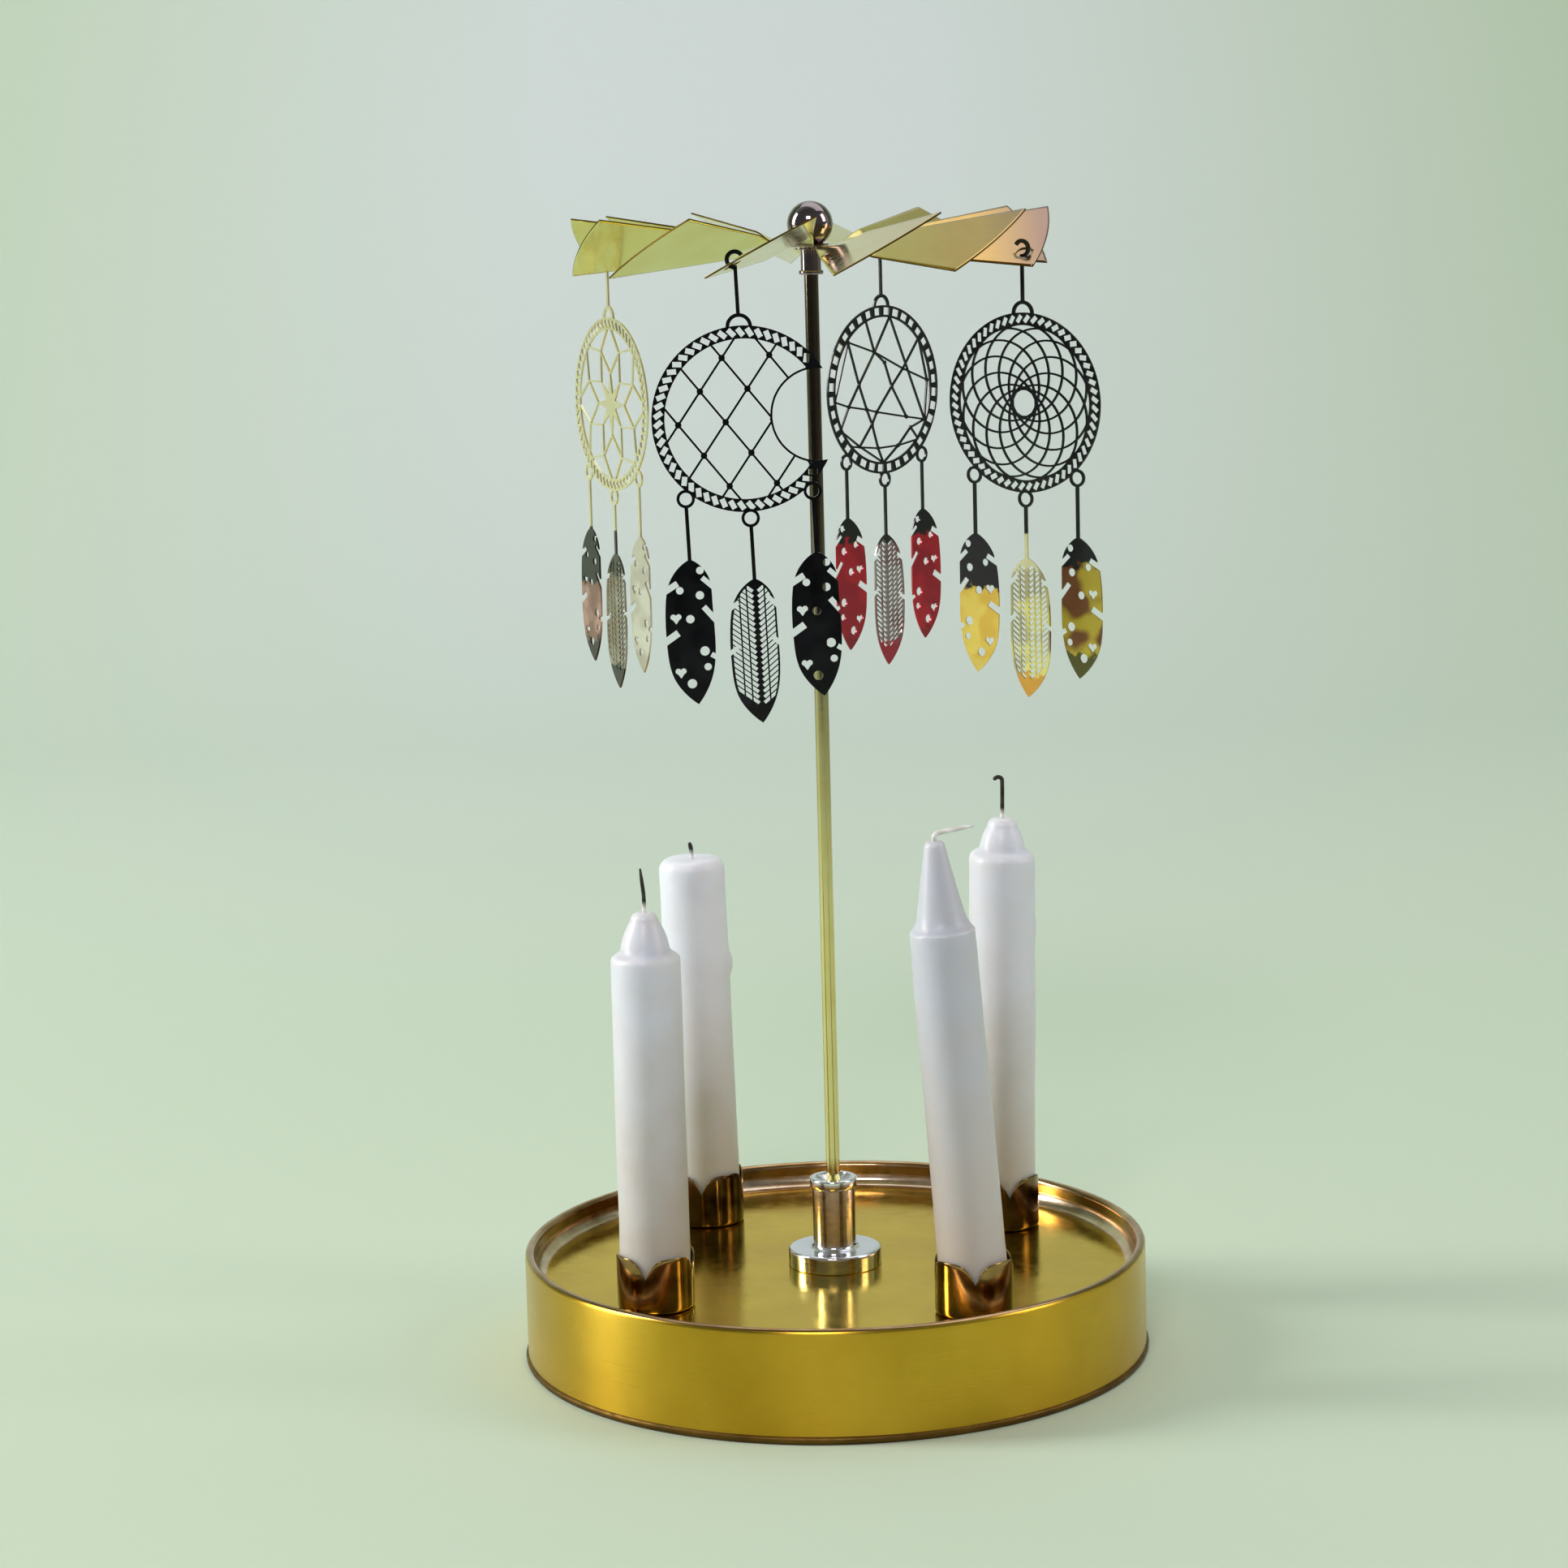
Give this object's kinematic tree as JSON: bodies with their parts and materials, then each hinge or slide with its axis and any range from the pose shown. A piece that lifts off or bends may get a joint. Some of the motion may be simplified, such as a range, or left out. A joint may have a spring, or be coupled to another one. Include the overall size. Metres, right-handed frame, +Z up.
{
  "type": "candle carousel",
  "caption": "Round brass tray with candles in petal cups and a centre rod; a twisted-vane fan with hanging dreamcatcher pendants turns on a needle above.",
  "frame": {"origin": "middle of the tray, on the surface that it stands on", "axes": "+Z up along the rod; -Y towards the viewer of the picture; +X to the viewer's right"},
  "size_m": [0.136, 0.136, 0.248],
  "materials": {
    "tray_brass": "polished",
    "cup_brass": "polished",
    "rivet_brass": "satin",
    "nickel": "polished",
    "zinc_steel": "satin",
    "rod_brass": "polished",
    "needle_steel": "polished",
    "bearing_brass": "polished",
    "fan_brass": "polished",
    "wax": "satin, slightly see-through wax",
    "wick_cotton": "burnt cotton",
    "wick_waxed": "waxed cotton",
    "pendant_gold": "bright lacquer",
    "pendant_black": "bright black",
    "pendant_gold_black": "bright lacquer",
    "pendant_red_black": "bright lacquer"
  },
  "bodies": {
    "tray": {"base_shell": "tray_brass", "cup_rivets": "rivet_brass", "socket": "nickel", "socket_washer": "zinc_steel", "socket_nut": "zinc_steel", "candle_cup_front_left": "cup_brass", "candle_cup_front_right": "cup_brass", "candle_cup_back_right": "cup_brass", "candle_cup_back_left": "cup_brass"},
    "post": {"rod": "rod_brass", "pivot_needle": "needle_steel"},
    "bearing": {"bearing_cup": "bearing_brass"},
    "rotor": {"rotor_vanes": "fan_brass", "finial_ball": "nickel", "hub_sleeve": "nickel"},
    "flower_pendant": {"pendant_flower": "pendant_gold"},
    "moon_pendant": {"pendant_moon": "pendant_black"},
    "spiral_pendant": {"pendant_spiral": "pendant_gold_black"},
    "chords_pendant": {"pendant_chords": "pendant_red_black"},
    "candle_front_left": {"candle_front_left": "wax", "wick_front_left": "wick_cotton"},
    "candle_front_right": {"candle_front_right": "wax", "wick_front_right": "wick_waxed"},
    "candle_back_right": {"candle_back_right": "wax", "wick_back_right": "wick_cotton"},
    "candle_back_left": {"candle_back_left": "wax", "wick_back_left": "wick_cotton"}
  },
  "joints": [
    {"name": "post_lift", "type": "slide", "parent": "tray", "child": "post", "axis": [0, 0, 1], "range_m": [0, 0.02]},
    {"name": "rotor_lift", "type": "slide", "parent": "post", "child": "bearing", "axis": [0, 0, 1], "range_m": [0, 0.014]},
    {"name": "rotor_spin", "type": "hinge", "parent": "bearing", "child": "rotor", "pos_m": [0, 0, 0.2387], "axis": [0, 0, 1], "continuous": true},
    {"name": "flower_swing", "type": "hinge", "parent": "rotor", "child": "flower_pendant", "pos_m": [-0.04347, 0.01546, 0.23736], "axis": [-0.891, -0.454, 0], "range_deg": [-15, 15]},
    {"name": "moon_swing", "type": "hinge", "parent": "rotor", "child": "moon_pendant", "pos_m": [-0.01541, -0.04367, 0.23736], "axis": [0.0523, -0.9986, 0], "range_deg": [-15, 15]},
    {"name": "spiral_swing", "type": "hinge", "parent": "rotor", "child": "spiral_pendant", "pos_m": [0.0433, -0.0156, 0.23736], "axis": [0.6018, 0.7986, 0], "range_deg": [-15, 15]},
    {"name": "chords_swing", "type": "hinge", "parent": "rotor", "child": "chords_pendant", "pos_m": [0.01557, 0.04333, 0.23736], "axis": [-0.7385, 0.6743, 0], "range_deg": [-15, 15]},
    {"name": "candle_lift_front_left", "type": "slide", "parent": "tray", "child": "candle_front_left", "axis": [0, 0, 1], "range_m": [0, 0.014]},
    {"name": "candle_lift_front_right", "type": "slide", "parent": "tray", "child": "candle_front_right", "axis": [-0.0698, 0, 0.9976], "range_m": [0, 0.014]},
    {"name": "candle_lift_back_right", "type": "slide", "parent": "tray", "child": "candle_back_right", "axis": [0.0175, 0, 0.9998], "range_m": [0, 0.014]},
    {"name": "candle_lift_back_left", "type": "slide", "parent": "tray", "child": "candle_back_left", "axis": [-0.0175, 0, 0.9998], "range_m": [0, 0.014]}
  ]
}
